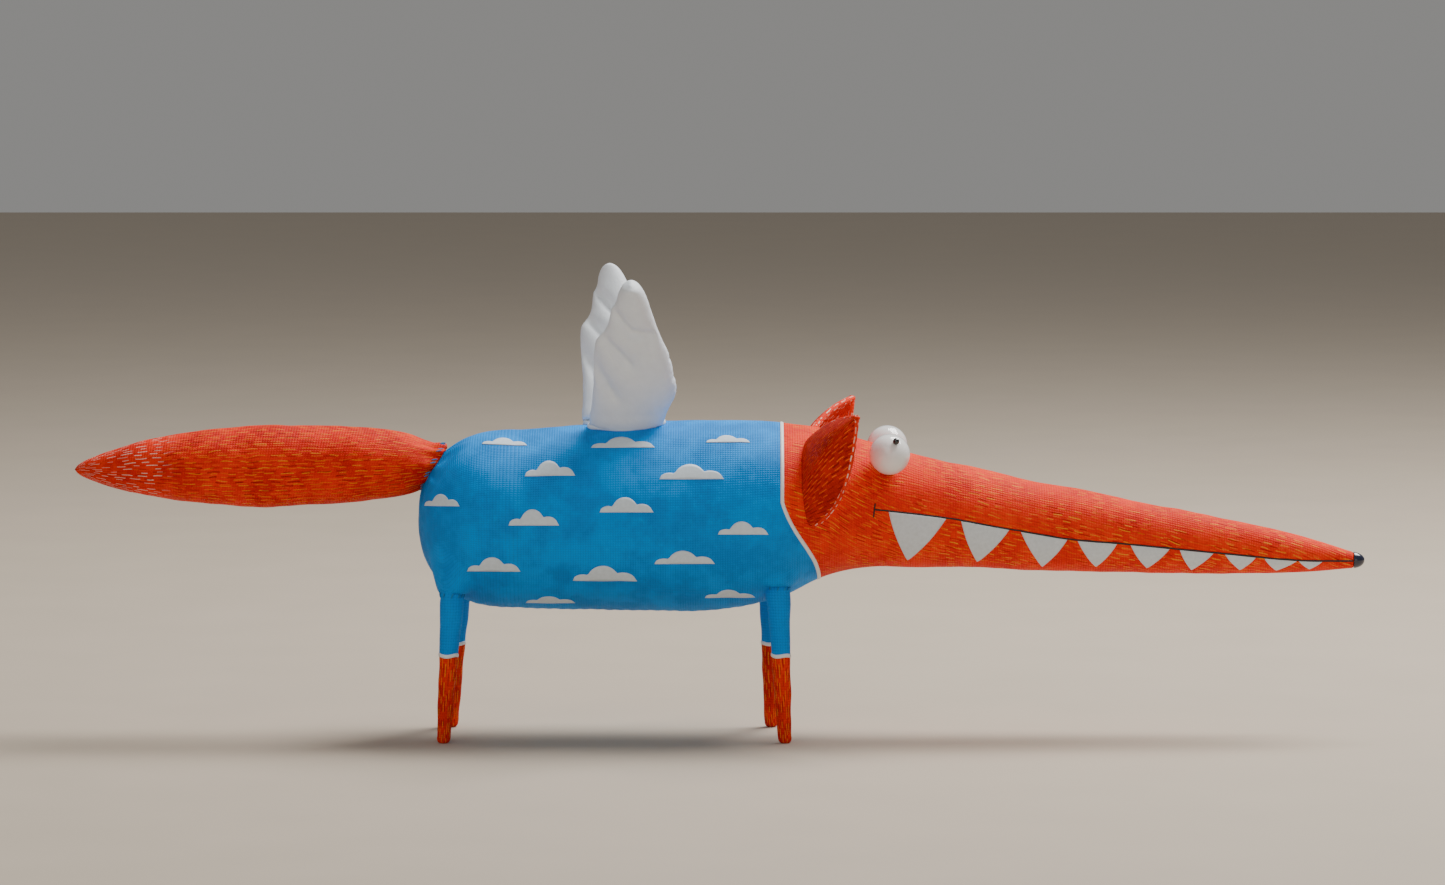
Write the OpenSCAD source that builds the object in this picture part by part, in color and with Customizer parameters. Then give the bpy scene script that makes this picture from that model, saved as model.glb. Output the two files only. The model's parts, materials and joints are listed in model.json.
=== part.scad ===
// Stuffed and painted cloth figure: a long-snouted winged fox in a blue jumper.
// X runs from the tail to the nose, Z is up and the figure stands on Z = 0.
// The animal faces +X, so its left side is +Y and its right side is -Y.

/* [Figure] */
// Distance from the middle to the tip of the nose, and to the tip of the tail
half_length = 193.65; // [190:0.05:200]
// Thickness of the sewn cotton covers
cloth = 0.8; // [0.5:0.1:1]
// Clearance between a cover and what it is packed with
packing_gap = 0.2; // [0.1:0.05:0.4]

/* [Torso] */
// X of the rearmost point of the rump
rump_x = -90.6; // [-94:0.2:-88]
// X where the rounded rump ends and the barrel of the torso starts
rump_end_x = -60; // [-64:0.5:-56]
// Squareness of the rounded rump, where 2 is an ellipse
rump_power = 2.37; // [2:0.01:2.6]
// X of the neckline at the nape
nape_x = 18.5; // [16:0.5:20]
// How far forward the neckline runs between the nape and the throat
neckline_run = 11.2; // [9:0.1:13]

/* [Legs] */
// Radius of a leg at the seam under the torso
leg_top_r = 3.75; // [3.4:0.05:4]
// Radius of a leg at the painted cuff
leg_cuff_r = 2.85; // [2.5:0.05:3.1]
// Radius of a foot
foot_r = 2.05; // [1.8:0.05:2.3]
// Height of the painted cuff
cuff_z = 26; // [22:0.5:30]
// Half the distance between a left and a right foot
foot_y = 20; // [17:0.5:22]

/* [Tail] */
// Rise of the tail's axis towards the rump, in degrees
tail_rise = 1; // [0:0.1:3]
// Height of the tail's tip
tail_tip_z = 80.2; // [78:0.2:83]

/* [Ears] */
// Distance of an ear's tip from the middle plane
ear_tip_y = 38; // [34:0.5:42]
// Height of an ear's tip
ear_tip_z = 99.5; // [96:0.5:103]
// Thickness of each of an ear's two cloth layers
ear_cloth = 0.7; // [0.5:0.05:0.8]

/* [Wings] */
// Height of a wing along its middle line, above the back
wing_rise = 44; // [40:0.5:46]
// How far a wing's tip leans outwards from its root
wing_lean = 25; // [18:0.5:30]

/* [Eyes] */
// Radius of an eye bead
bead_r = 6.1; // [5.5:0.1:6.5]
// Radius of the bead's drilled hole
bead_bore_r = 0.45; // [0.42:0.01:0.5]
// Radius of the pin's shank
pin_r = 0.4; // [0.35:0.01:0.4]
// Radius of the pin's round black head
pin_head_r = 1; // [0.8:0.05:1.2]
// Free play along the pin, between bead and cover and between bead and pin head
bead_play = 0.25; // [0.15:0.05:0.4]

/* [Armature] */
// Radius of the wooden rod that stiffens the snout
rod_r = 1.5; // [1.2:0.1:1.8]
// Radius of the leg and tail wires
wire_r = 0.8; // [0.6:0.05:0.9]
// Radius of the wing wires
wing_wire_r = 0.5; // [0.4:0.05:0.6]

/* [Hidden] */
$fn = 48;

// Points round a section of the torso or head, of a wing and of a bent wire.
round_n = 28;
wing_n = 20;
wire_n = 12;

// Side signs: the animal's left is +Y.
left = 1;
right = -1;

// Torso and head sections: [x, lowest z, highest z, half width].
sections = [
    [-60, 38.4, 92.2, 27],
    [-30, 38.0, 93.9, 27.7],
    [0, 38.1, 95.0, 28.2],
    [18, 41.8, 94.5, 27.2],
    [30, 47.7, 92.6, 23.0],
    [42, 50.6, 89.5, 17.6],
    [58, 50.9, 85.0, 14.5],
    [84, 50.3, 78.9, 12.6],
    [114, 49.3, 72.9, 10.3],
    [144, 48.9, 66.9, 7.9],
    [174, 49.2, 60.3, 5.0],
    [190.2, 50.5, 55.3, 2.4]
];
snout_x = sections[len(sections) - 1][0];
settled_x = 42; // from here forward a head section is a plain slice

// Leg: [seam x, seam z, seam y, foot x] of the rear and the front pair, left and right.
rear_left = [-78.8, 45.5, 14, -81.6];
rear_right = [-79.9, 44.5, -14, -82.5];
front_left = [15.2, 47.3, 14, 15.6];
front_right = [17.2, 46.8, -14, 19.4];
legs = [rear_left, rear_right, front_left, front_right];
leg_depth = 5; // how far a leg's top reaches into its hip above the seam
hip_wall = 0.5;
stitch_room = 0.45; // round a leg below its seam, where the belly hangs lower than the seam
foot_flat_r = 1;
leg_seam_turn = 40; // where a leg's cloth is joined down its length

// Tail: distance from the tip along the axis and radius.
tail_profile = [
    [2.2, 2.1], [7, 4.1], [11.3, 5.6], [18.5, 7.7], [25.7, 9.2], [33, 10.4],
    [43.7, 11.5], [58, 12.15], [72.5, 11.9], [87, 11.1], [94, 10.2], [100, 9], [104.5, 7.4], [108, 6]
];
tail_root_x = -86.9;
tail_root_z = 80.6;
tail_root_turn = 28; // slope of the rump where the tail is sewn on
tail_solid_r = 6;

// Head axis, which the snout rod follows.
rod_start = [-24, 0, 77.9];
rod_end = [184, 0, 53.7];

// Wing sections: [height share, trailing x, leading x, thickness].
wing_sections = [
    [0.01, -38.4, -17.2, 6],
    [0.06, -38.7, -15.6, 7.5],
    [0.14, -38.5, -13.2, 9.5],
    [0.32, -37.8, -12.0, 11],
    [0.50, -37.4, -14.0, 10],
    [0.66, -34.8, -17.5, 8.6],
    [0.79, -32.6, -20.0, 7.2],
    [0.90, -31.0, -21.4, 5.8],
    [0.97, -29.4, -23.8, 4]
];
wing_root_y = 4.6;
wing_root_z = 95;
wing_sweep = [0, -1.4, -4.6]; // x shift of the left wing: none, at the root, more at the tip
left_wing_scale = 1.04;

// Eye: where the pin enters the head, as x and the angle round the section.
eye_x = 48.9;
eye_angle = 44.5;
pin_length = 11; // shank inside the head

function mix(a, b, t) = a + (b - a) * t;
function unit(v) = v / norm(v);
function smooth(t) = t * t * (3 - 2 * t);
function reverse(list) = [for (i = [len(list) - 1 : -1 : 0]) list[i]];

// Smooth curve through the rows of a table: column k at the place x of column 0.
function slope(t, i, k) =
    let (a = max(i - 1, 0), b = min(i + 1, len(t) - 1))
    (t[b][k] - t[a][k]) / (t[b][0] - t[a][0]);
function row(t, x, i = 0) = i >= len(t) - 2 || x < t[i + 1][0] ? i : row(t, x, i + 1);
function curve(t, x, k) =
    let (i = row(t, x), gap = t[i + 1][0] - t[i][0], s = (x - t[i][0]) / gap)
    (2 * pow(s, 3) - 3 * s * s + 1) * t[i][k] + (pow(s, 3) - 2 * s * s + s) * gap * slope(t, i, k)
    + (3 * s * s - 2 * pow(s, 3)) * t[i + 1][k] + (pow(s, 3) - s * s) * gap * slope(t, i + 1, k);

// Point of the skin at x and angle, set in by a distance.
function skin(x, angle, inset = 0) =
    let (low = curve(sections, x, 1), high = curve(sections, x, 2), wide = curve(sections, x, 3))
    [x, cos(angle) * (wide - inset), (low + high) / 2 + sin(angle) * ((high - low) / 2 - inset)];
function angles(n) = [for (i = [0 : n - 1]) 360 * i / n];

// X of the neckline at an angle round the section, where 90 is the nape.
function neckline_x(angle) =
    let (t = max(0, (0.17 - sin(angle)) / 1.17))
    nape_x + neckline_run * (sin(90 * min(t, 1)) + smooth(t)) / 2;

// Rounded rump: a ring at a turn from 0 at the pole to 90 where the barrel starts.
function rump_ring(turn, inset) =
    let (
        start = sections[0],
        out = pow(cos(turn), 2 / rump_power),
        share = pow(sin(turn), 2 / rump_power),
        x = rump_end_x + (rump_x + inset - rump_end_x) * out,
        mid = (start[1] + start[2]) / 2
    )
    [for (a = angles(round_n)) [
        x,
        cos(a) * (start[3] - inset) * share,
        mid + sin(a) * ((start[2] - start[1]) / 2 - inset) * share
    ]];
function torso_rings(inset, neck_gap) = concat(
    [for (turn = [6, 16, 28, 41, 54, 67, 79]) rump_ring(turn, inset)],
    [for (t = [0 : 1 / 7 : 1.001]) [for (a = angles(round_n))
        skin(mix(rump_end_x, neckline_x(a) - neck_gap, t), a, inset)]]
);
function head_rings(inset, neck_gap, end_gap) = concat(
    [for (t = [0 : 0.25 : 0.99]) [for (a = angles(round_n))
        skin(mix(neckline_x(a) + neck_gap, settled_x, t), a, inset)]],
    [for (x = [settled_x, 50, 58, 70, 84, 99, 114, 129, 144, 159, 174, snout_x - end_gap])
        [for (a = angles(round_n)) skin(x, a, inset)]]
);

function middle(ring) = [for (k = [0 : 2]) [for (p = ring) p[k]] * [for (p = ring) 1 / len(ring)]];

// Closed solid through a row of rings that all have the same number of points.
// Its ends are closed round their middles, or straight across where the section is a thin band.
// The points run clockwise as seen from the last ring, or the other way round if flip is set.
module loft(given, band = false, flip = false) {
    rings = flip ? [for (ring = given) reverse(ring)] : given;
    n = len(rings[0]);
    last = len(rings) - 1;
    side = [for (i = [0 : last - 1], j = [0 : n - 1]) let (k = (j + 1) % n)
        each [[i * n + j, i * n + k, (i + 1) * n + k], [i * n + j, (i + 1) * n + k, (i + 1) * n + j]]];
    first_middle = n * (last + 1);
    fans = [for (j = [0 : n - 1]) let (k = (j + 1) % n)
        each [[first_middle, k, j], [first_middle + 1, last * n + j, last * n + k]]];
    bands = [for (j = [0 : n / 2 - 2]) let (far = n - 1 - j)
        each [[j, far, far - 1], [j, far - 1, j + 1],
            [last * n + j, last * n + far - 1, last * n + far],
            [last * n + j, last * n + j + 1, last * n + far - 1]]];
    points = [for (ring = rings) each ring];
    if (band)
        polyhedron(points, concat(side, bands), convexity = 6);
    else
        polyhedron(concat(points, [middle(rings[0]), middle(rings[last])]),
            concat(side, fans), convexity = 6);
}

// Straight round bar between two points.
module bar(a, b, r) {
    d = b - a;
    translate(a)
        rotate([0, acos(d[2] / norm(d)), atan2(d[1], d[0])])
            cylinder(h = norm(d), r = r);
}

// Bent wire through a row of points that lie close to a plane across X.
function wire_ring(points, i, r) =
    let (
        last = len(points) - 1,
        before = i > 0 ? unit(points[i] - points[i - 1]) : [0, 0, 0],
        after = i < last ? unit(points[i + 1] - points[i]) : [0, 0, 0],
        along = unit(before + after),
        side = unit(cross(along, [1, 0, 0])),
        up = cross(side, along)
    )
    [for (a = angles(wire_n)) points[i] + r * (cos(a) * side + sin(a) * up)];
module wire(points, r) {
    loft([for (i = [0 : len(points) - 1]) wire_ring(points, i, r)]);
}
// Room for such a wire: straight holes that run on a little past each bend.
module channel(points, r) {
    for (i = [0 : len(points) - 2]) {
        past = unit(points[i + 1] - points[i]) * r;
        bar(points[i] - past, points[i + 1] + past, r);
    }
}

// Point on a leg's axis at a height.
function leg_axis(leg, z) =
    let (t = 1 - z / leg[1])
    [mix(leg[0], leg[3], t), mix(leg[2], sign(leg[2]) * foot_y, t), z];
module along_leg(leg) {
    foot = leg_axis(leg, 0);
    top = leg_axis(leg, leg[1]);
    d = top - foot;
    translate(foot)
        rotate([0, acos(d[2] / norm(d)), atan2(d[1], d[0])])
            children();
}

// Skin normal where the eye pin enters, on the animal's left.
function eye_entry(side) =
    let (p = skin(eye_x, eye_angle))
    [p[0], side * p[1], p[2]];
function eye_direction(side) =
    let (
        along = skin(eye_x + 1, eye_angle) - skin(eye_x - 1, eye_angle),
        round = skin(eye_x, eye_angle + 1) - skin(eye_x, eye_angle - 1),
        out = unit(cross(round, along))
    )
    [out[0], side * out[1], out[2]] * sign(out[1]);
function bead_middle(side) = eye_entry(side) + eye_direction(side) * (bead_r + bead_play);

// Ear: u runs from the sewn base to the tip, v from the front rim to the rim over the head.
function ear_base(v) =
    let (x = 27.6 - 3.2 * sqrt(max(0, 1 - v * v)) - 0.6 * max(0, v))
    skin(x, mix(-12, 62, (v + 1) / 2), -0.45);
function ear_point(u, v) =
    let (
        tip = [40.6, ear_tip_y, ear_tip_z],
        swell = sin(180 * pow(u, 0.85)),
        front = [3.2, 1.5, -3.4],
        back = [-1.5, 4.6, 0.4],
        top = [0, 0.6, 2]
    )
    mix(ear_base(v), tip, u)
    + swell * (v < 0 ? mix(back, front, v * v) : mix(back, top, v * v));
function ear_normal(u, v) =
    let (e = 0.02, a = max(u - e, 0), b = min(u + e, 1), c = max(v - e, -1), d = min(v + e, 1))
    unit(cross(ear_point(b, v) - ear_point(a, v), ear_point(u, d) - ear_point(u, c)));
function ear_layer(side, from, to) =
    [for (u = [0, 0.12, 0.26, 0.4, 0.54, 0.68, 0.8, 0.89, 0.95]) let (
        outer = [for (v = [-1 : 0.25 : 1]) ear_point(u, v) + ear_normal(u, v) * from],
        inner = [for (v = [1 : -0.25 : -1]) ear_point(u, v) + ear_normal(u, v) * to]
    ) [for (p = concat(outer, inner)) [p[0], side * p[1], p[2]]]];

// Wing: rings of a leaning pillow, each at a share of the wing's height.
function wing_ring(side, section, inset) =
    let (
        t = section[0],
        grow = side == left ? left_wing_scale : 1,
        shift = side == left ? wing_sweep[1] + (wing_sweep[2] - wing_sweep[1]) * t : 0,
        lean = atan2(wing_lean, wing_rise),
        mid_x = (section[1] + section[2]) / 2 + shift,
        half_x = (section[2] - section[1]) / 2 - inset,
        half_t = section[3] / 2 - inset,
        y = wing_root_y + wing_lean * t * grow,
        z = wing_root_z + (wing_rise * t + inset * (1 - 2 * t)) * grow
    )
    [for (a = angles(wing_n)) [
        mid_x + cos(a) * half_x,
        side * (y + sin(a) * half_t * cos(lean)),
        z - sin(a) * half_t * sin(lean) * min(1, 8 * t)
    ]];
function wing_rings(side, inset) = [for (s = wing_sections) wing_ring(side, s, inset)];
// Wing wire: [start inside the torso, way out through the back, end near the wing's tip].
function wing_wire_points(side) =
    let (shift = side == left ? wing_sweep[1] : 0)
    [
        [-27 + shift, side * 2.5, 84],
        [-27 + shift, side * wing_root_y, wing_root_z + 1],
        [-26 + 2 * shift, side * (wing_root_y + wing_lean * 0.78), wing_root_z + wing_rise * 0.78]
    ];

// Turned frame of the tail: its tip at the origin and its axis along +Z.
module along_tail() {
    translate([-half_length, 0, tail_tip_z])
        rotate([0, 90 - tail_rise, 0])
            children();
}
module tail_shape(inset) {
    outline = [for (p = tail_profile) [max(p[1] - inset, 0), p[0]]];
    tip = [0, tail_profile[0][0] * (inset > 0 ? 2.5 : 0)];
    rotate_extrude()
        polygon(concat([tip], [for (p = outline) if (p[0] > 0) p],
            [[tail_solid_r - inset, 116], [0, 116]]));
}
module beyond_tail_root(back) {
    translate([tail_root_x, 0, tail_root_z])
        rotate([0, tail_root_turn, 0])
            translate([-back, -20, -30])
                cube([60, 40, 60]);
}

// Radius of a leg at a height along its axis.
module leg_shape(top) {
    rotate_extrude()
        polygon([
            [0, -0.4], [foot_flat_r, -0.4], [foot_r * 0.8, 0.4], [foot_r, 1.5], [foot_r, 3],
            [leg_cuff_r, cuff_z], [leg_top_r, top - leg_depth], [leg_top_r, top], [0, top]
        ]);
}
module below_ground() {
    translate([-120, -40, -10]) cube([240, 80, 10]);
}

// One wire runs from the left foot up into the torso, across it and down into the right foot.
function leg_wire_points(pair, bridge_z) =
    let (
        tops = [for (leg = pair) leg_axis(leg, leg[1] + leg_depth + 2)],
        bridge_x = (tops[0][0] + tops[1][0]) / 2
    )
    [
        leg_axis(pair[0], 4), tops[0], [bridge_x, 6, bridge_z],
        [bridge_x, -6, bridge_z], tops[1], leg_axis(pair[1], 4)
    ];
function rod_point(x) = mix(rod_start, rod_end, (x - rod_start[0]) / (rod_end[0] - rod_start[0]));
front_bridge_z = rod_point(16.4)[2] - rod_r - wire_r - 0.05;
rear_bridge_z = 70;
front_wire = leg_wire_points([front_left, front_right], front_bridge_z);
rear_wire = leg_wire_points([rear_left, rear_right], rear_bridge_z);
module tail_wire_shape(r) {
    along_tail() translate([0, 0, 12]) cylinder(h = 140, r = r);
}

module torso_cover() {
    color("deepskyblue")
    difference() {
        union() {
            loft(concat(torso_rings(0, 0.05), reverse(torso_rings(cloth, 0.05))), flip = true);
            difference() {
                for (leg = legs) along_leg(leg)
                    translate([0, 0, leg[1]]) cylinder(h = 12, r1 = leg_top_r + hip_wall, r2 = 5.6);
                loft(torso_rings(cloth / 2, 0.05), flip = true);
            }
        }
        for (leg = legs) along_leg(leg) {
            translate([0, 0, leg[1] - 1]) cylinder(h = 16, r = leg_top_r + 0.02);
            translate([0, 0, leg[1] - 7]) cylinder(h = 6.9, r = leg_top_r + stitch_room);
        }
        tail_wire_shape(wire_r + 0.05);
        for (side = [left, right]) channel(wing_wire_points(side), wing_wire_r + 0.1);
    }
}
module head_cover() {
    color("orangered")
    difference() {
        loft(concat(reverse(head_rings(0, 0.05, 0)), head_rings(cloth, 0.05, cloth)));
        for (side = [left, right]) pin_hole(side);
    }
}
module pin_hole(side) {
    entry = eye_entry(side);
    out = eye_direction(side);
    bar(entry - out * (pin_length + 0.2), entry + out * 2, pin_r + 0.05);
}
module nose_tip() {
    length = half_length - snout_x - 0.1;
    color("midnightblue")
    translate([snout_x + 0.1, 0, 52.9])
        rotate([0, 90, 0])
            rotate_extrude()
                polygon(concat(
                    [[0, 0], [2.3, 0], [2.5, 0.5], [2.4, 1]],
                    [for (t = [15 : 15 : 75]) [2.4 * cos(t), 1 + (length - 1) * sin(t)]],
                    [[0, length]]
                ));
}
module tail_cover() {
    color("orangered")
    difference() {
        along_tail() tail_shape(0);
        difference() {
            along_tail() tail_shape(cloth);
            beyond_tail_root(2.3);
        }
        beyond_tail_root(1.3);
        tail_wire_shape(wire_r + 0.05);
    }
}
module ear_back(side) {
    color("firebrick") loft(ear_layer(side, 0, ear_cloth), band = true, flip = side == left);
}
module ear_lining(side) {
    color("salmon")
    loft(ear_layer(side, ear_cloth + 0.2, 2 * ear_cloth + 0.1), band = true, flip = side == left);
}
module wing_cover(side) {
    color("white")
    difference() {
        loft(wing_rings(side, 0), flip = side == left);
        loft(wing_rings(side, cloth), flip = side == left);
        channel(wing_wire_points(side), wing_wire_r + 0.1);
    }
}
module wing_stuffing(side) {
    color("ivory")
    difference() {
        loft(wing_rings(side, cloth + packing_gap), flip = side == left);
        channel(wing_wire_points(side), wing_wire_r + 0.1);
    }
}
module leg(leg) {
    top = norm(leg_axis(leg, leg[1]) - leg_axis(leg, 0)) + leg_depth;
    color("tomato")
    difference() {
        along_leg(leg) rotate(leg_seam_turn) leg_shape(top);
        bar(leg_axis(leg, 3.8), leg_axis(leg, leg[1] + 10), wire_r + 0.05);
        below_ground();
    }
}
module eye(side) {
    out = eye_direction(side);
    middle = bead_middle(side);
    color("white")
    difference() {
        translate(middle) sphere(bead_r);
        bar(middle - out * (bead_r + 1), middle + out * (bead_r + 1), bead_bore_r);
    }
}
module eye_pin(side) {
    out = eye_direction(side);
    entry = eye_entry(side);
    head = bead_middle(side) + out * (bead_r + bead_play * 0.4 + pin_head_r * 0.7);
    color("black") {
        bar(entry - out * pin_length, head, pin_r);
        difference() {
            translate(head) sphere(pin_head_r);
            translate(head)
                rotate([0, acos(out[2]), atan2(out[1], out[0])])
                    translate([0, 0, -pin_head_r * 1.7]) cube(2 * pin_head_r, center = true);
        }
    }
}
module torso_stuffing() {
    color("ivory")
    difference() {
        loft(torso_rings(cloth + packing_gap, 0.4), flip = true);
        for (leg = legs) along_leg(leg)
            translate([0, 0, leg[1] - 4]) cylinder(h = leg_depth + 6, r = 6.2);
        channel(front_wire, wire_r + 0.1);
        channel(rear_wire, wire_r + 0.1);
        tail_wire_shape(wire_r + 0.1);
        bar(rod_start - [1, 0, 0], rod_end, rod_r + 0.8);
        for (side = [left, right]) channel(wing_wire_points(side), wing_wire_r + 0.1);
    }
}
module head_stuffing() {
    color("ivory")
    difference() {
        loft(reverse(head_rings(cloth + packing_gap, 0.4, cloth + 2)));
        bar(rod_start, rod_point(187), rod_r + 0.05);
        for (side = [left, right]) pin_hole(side);
        front_bindings_room();
    }
}
module front_bindings_room() {
    bar(rod_point(10), rod_point(24), rod_r + 0.8);
}
module tail_stuffing() {
    color("ivory")
    difference() {
        along_tail() tail_shape(cloth + packing_gap);
        beyond_tail_root(2.6);
        tail_wire_shape(wire_r + 0.05);
    }
}
module snout_rod() {
    color("burlywood") bar(rod_start, rod_end, rod_r);
}
module front_leg_wire() {
    color("silver") wire(front_wire, wire_r);
}
module rear_leg_wire() {
    color("silver") wire(rear_wire, wire_r);
}
module tail_wire() {
    color("silver") tail_wire_shape(wire_r);
}
module wing_wire(side) {
    color("silver") wire(wing_wire_points(side), wing_wire_r);
}
// Turns of thread that hold the front leg wire against the rod.
module wire_bindings() {
    color("white")
    for (x = [13.6, 14.3, 18.6, 19.3])
        translate(rod_point(x))
            rotate([0, 90 + atan2(rod_start[2] - rod_end[2], rod_end[0] - rod_start[0]), 0])
                rotate_extrude() translate([rod_r + 0.32, 0]) circle(0.3, $fn = 24);
}
// Ladder stitches round each leg's seam.
module leg_stitches() {
    color("dodgerblue")
    for (leg = legs) along_leg(leg)
        for (turn = [0 : 36 : 324])
            rotate([0, 0, turn])
                translate([leg_top_r + 0.2, 0, leg[1] - 1.7]) cylinder(h = 1.5, r = 0.16, $fn = 16);
}
// They follow the oval in which the sloping rump meets the tail.
module tail_stitches() {
    tip = [-half_length, 0, tail_tip_z];
    along = [cos(tail_rise), 0, sin(tail_rise)];
    face = [cos(tail_root_turn), 0, -sin(tail_root_turn)];
    middle = tip + along * ((([tail_root_x, 0, tail_root_z] - tip) * face) / (along * face));
    reach = tail_solid_r + 0.6;
    color("dodgerblue")
    translate(middle)
        rotate([0, tail_root_turn - 90, 0])
            for (turn = [0 : 20 : 340])
                translate([cos(turn) * reach / (along * face), sin(turn) * reach, 0.1])
                    cylinder(h = 1.1, r = 0.16, $fn = 16);
}

torso_cover();
head_cover();
nose_tip();
tail_cover();
ear_back(left);  // ear_left_back
ear_lining(left);  // ear_left_lining
ear_back(right);  // ear_right_back
ear_lining(right);  // ear_right_lining
wing_cover(left);  // wing_left_cover
wing_cover(right);  // wing_right_cover
wing_stuffing(left);  // wing_left_stuffing
wing_stuffing(right);  // wing_right_stuffing
leg(front_left);  // leg_front_left
leg(front_right);  // leg_front_right
leg(rear_left);  // leg_rear_left
leg(rear_right);  // leg_rear_right
eye(left);  // eye_left
eye(right);  // eye_right
eye_pin(left);  // eye_pin_left
eye_pin(right);  // eye_pin_right
torso_stuffing();
head_stuffing();
tail_stuffing();
snout_rod();
front_leg_wire();
rear_leg_wire();
tail_wire();
wing_wire(left);  // wing_wire_left
wing_wire(right);  // wing_wire_right
wire_bindings();
leg_stitches();
tail_stitches();
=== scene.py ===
"""Looks of a sewn, stuffed and painted cloth figure: a long-snouted winged fox in a blue jumper.

Shapes are worked out in millimetres in the figure's own frame, +X towards the nose, +Y the
animal's left and +Z up, and turned to metres where a mesh is made.
"""

import json
import math

import bpy
from mathutils import Matrix, Vector, noise


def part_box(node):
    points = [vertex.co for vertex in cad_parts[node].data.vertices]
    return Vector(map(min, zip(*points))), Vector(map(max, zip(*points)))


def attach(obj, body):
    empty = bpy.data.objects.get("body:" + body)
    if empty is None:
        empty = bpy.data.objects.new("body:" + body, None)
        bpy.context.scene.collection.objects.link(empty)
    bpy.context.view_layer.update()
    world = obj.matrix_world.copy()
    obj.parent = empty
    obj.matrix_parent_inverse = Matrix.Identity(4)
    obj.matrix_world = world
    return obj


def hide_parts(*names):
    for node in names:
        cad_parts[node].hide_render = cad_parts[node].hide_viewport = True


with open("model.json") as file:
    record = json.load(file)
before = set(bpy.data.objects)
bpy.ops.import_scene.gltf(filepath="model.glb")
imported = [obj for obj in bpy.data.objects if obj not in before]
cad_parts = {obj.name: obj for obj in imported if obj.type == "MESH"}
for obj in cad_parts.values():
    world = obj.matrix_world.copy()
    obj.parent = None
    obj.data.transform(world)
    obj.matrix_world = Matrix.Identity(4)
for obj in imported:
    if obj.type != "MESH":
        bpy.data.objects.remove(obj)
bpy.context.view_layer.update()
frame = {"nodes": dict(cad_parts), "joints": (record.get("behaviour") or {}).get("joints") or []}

MM = 0.001
LEFT, RIGHT = 1, -1
SIDES = {"left": LEFT, "right": RIGHT}


def corners(*nodes):
    """Lowest and highest corner of some CAD nodes together, in millimetres."""
    boxes = [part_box(node) for node in nodes]
    low = [min(box[0][k] for box in boxes) / MM for k in range(3)]
    high = [max(box[1][k] for box in boxes) / MM for k in range(3)]
    return Vector(low), Vector(high)


# ---------------------------------------------------------------- shape of the skin

RUMP_END = -60.0  # where the rounded rump meets the barrel of the torso
RUMP_POWER = 2.37  # squareness of the rump, where 2 is an ellipse
SNOUT_END = 190.2
# Sections of torso and head: [x, lowest z, highest z, half width].
SECTIONS = (
    (-60, 38.4, 92.2, 27), (-30, 38.0, 93.9, 27.7), (0, 38.1, 95.0, 28.2),
    (18, 41.8, 94.5, 27.2), (30, 47.7, 92.6, 23.0), (42, 50.6, 89.5, 17.6),
    (58, 50.9, 85.0, 14.5), (84, 50.3, 78.9, 12.6), (114, 49.3, 72.9, 10.3),
    (144, 48.9, 66.9, 7.9), (174, 49.2, 60.3, 5.0), (190.2, 50.5, 55.3, 2.4),
)
# Tail: distance from the tip along its axis, and radius.
TAIL = (
    (0.0, 0.5), (2.2, 2.1), (7, 4.1), (11.3, 5.6), (18.5, 7.7), (25.7, 9.2), (33, 10.4),
    (43.7, 11.5), (58, 12.15), (72.5, 11.9), (87, 11.1), (94, 10.2), (100, 9), (104.5, 7.4),
    (108, 6.0),
)
TAIL_TIP = Vector((-193.65, 0, 80.2))
TAIL_RISE = math.radians(1.0)
TAIL_ROOT = Vector((-86.9, 0, 80.6))
TAIL_ROOT_TURN = math.radians(28)  # slope of the rump where the tail is sewn on
TAIL_GIRTH_R = 11.5  # radius that the flow of the tail's weave is measured at
# Legs: seam x, seam z, seam y, foot x, foot y.
LEGS = {
    "rear_left": (-78.8, 45.5, 14, -81.6, 20),
    "rear_right": (-79.9, 44.5, -14, -82.5, -20),
    "front_left": (15.2, 47.3, 14, 15.6, 20),
    "front_right": (17.2, 46.8, -14, 19.4, -20),
}
CUFF_Z = 26.0
LEG_TOP_R, LEG_CUFF_R, FOOT_R = 3.75, 2.85, 2.05


def mix(a, b, t):
    return a + (b - a) * t


def clamp(t):
    return max(0.0, min(1.0, t))


def smooth(t):
    t = clamp(t)
    return t * t * (3 - 2 * t)


def curve(rows, x, k):
    """Column k of a table at the place x of its first column, on a smooth curve."""
    i = 0
    while i < len(rows) - 2 and x >= rows[i + 1][0]:
        i += 1

    def slope(j):
        a, b = rows[max(j - 1, 0)], rows[min(j + 1, len(rows) - 1)]
        return (b[k] - a[k]) / (b[0] - a[0])

    gap = rows[i + 1][0] - rows[i][0]
    s = (x - rows[i][0]) / gap
    return (
        (2 * s**3 - 3 * s**2 + 1) * rows[i][k] + (s**3 - 2 * s**2 + s) * gap * slope(i)
        + (3 * s**2 - 2 * s**3) * rows[i + 1][k] + (s**3 - s**2) * gap * slope(i + 1)
    )


RUMP_X = corners("torso_cover")[0].x


def section(x):
    """Middle height, half height and half width of the body at x."""
    at = max(x, RUMP_END)
    low, high, wide = (curve(SECTIONS, at, k) for k in (1, 2, 3))
    share = 1.0
    if x < RUMP_END:
        along = clamp((RUMP_END - x) / (RUMP_END - RUMP_X))
        share = (1 - along**RUMP_POWER) ** (1 / RUMP_POWER)
    return (low + high) / 2, (high - low) / 2 * share, wide * share


def neckline_x(angle):
    """X of the neckline at an angle round the section, where 90 degrees is the nape."""
    t = max(0.0, (0.17 - math.sin(angle)) / 1.17)
    return 18.5 + 11.2 * (math.sin(math.pi / 2 * min(t, 1)) + smooth(t)) / 2


def lump(x, y, z, size, height):
    """Slow unevenness of hand-packed wadding."""
    return noise.noise(Vector((x, y, z)) / size) * height


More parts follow.
